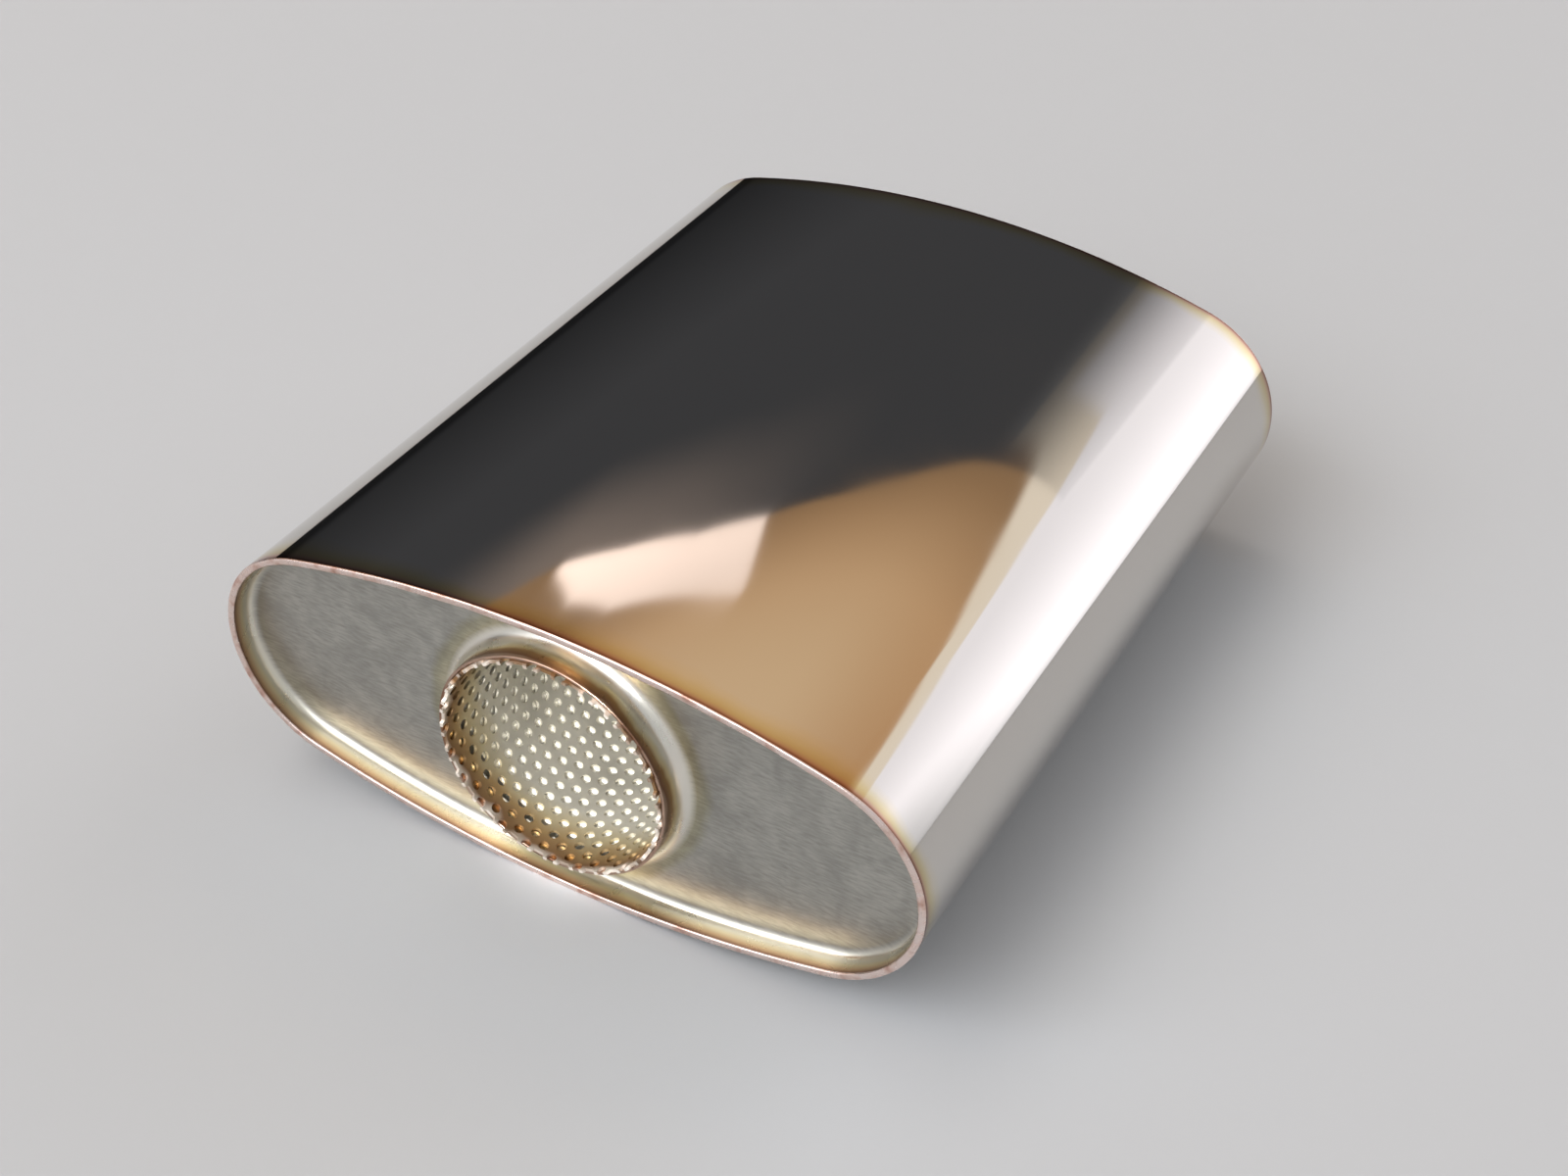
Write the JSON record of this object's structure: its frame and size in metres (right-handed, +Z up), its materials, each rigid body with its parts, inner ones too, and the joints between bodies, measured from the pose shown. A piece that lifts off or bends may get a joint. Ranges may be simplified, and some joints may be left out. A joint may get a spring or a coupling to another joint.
{
  "type": "muffler",
  "caption": "Straight-through oval muffler in polished sheet steel with recessed end plates, drawn necks and a perforated core packed round with fibre.",
  "frame": {"origin": "on the ground under the middle of the body, which lies on its broad side", "axes": "+Z up, +Y along the pipe axis from the front mouth to the rear one, +X across the wide oval"},
  "size_m": [0.222, 0.2608, 0.092],
  "materials": {
    "polished_sheet": "mirror-polished stainless sheet",
    "pressed_sheet": "satin mill finish, tinted straw by welding",
    "perforated_sheet": "bright perforated sheet",
    "fibre": "loose white fibre",
    "weld": "fused bead with pink and brown heat tint"
  },
  "bodies": {
    "root": {"shell": "polished_sheet", "front_end_plate": "pressed_sheet", "rear_end_plate": "pressed_sheet", "perforated_core": "perforated_sheet", "fibre_packing": "fibre", "front_rim_weld": "weld", "rear_rim_weld": "weld", "shell_seam_weld": "weld"}
  },
  "joints": []
}
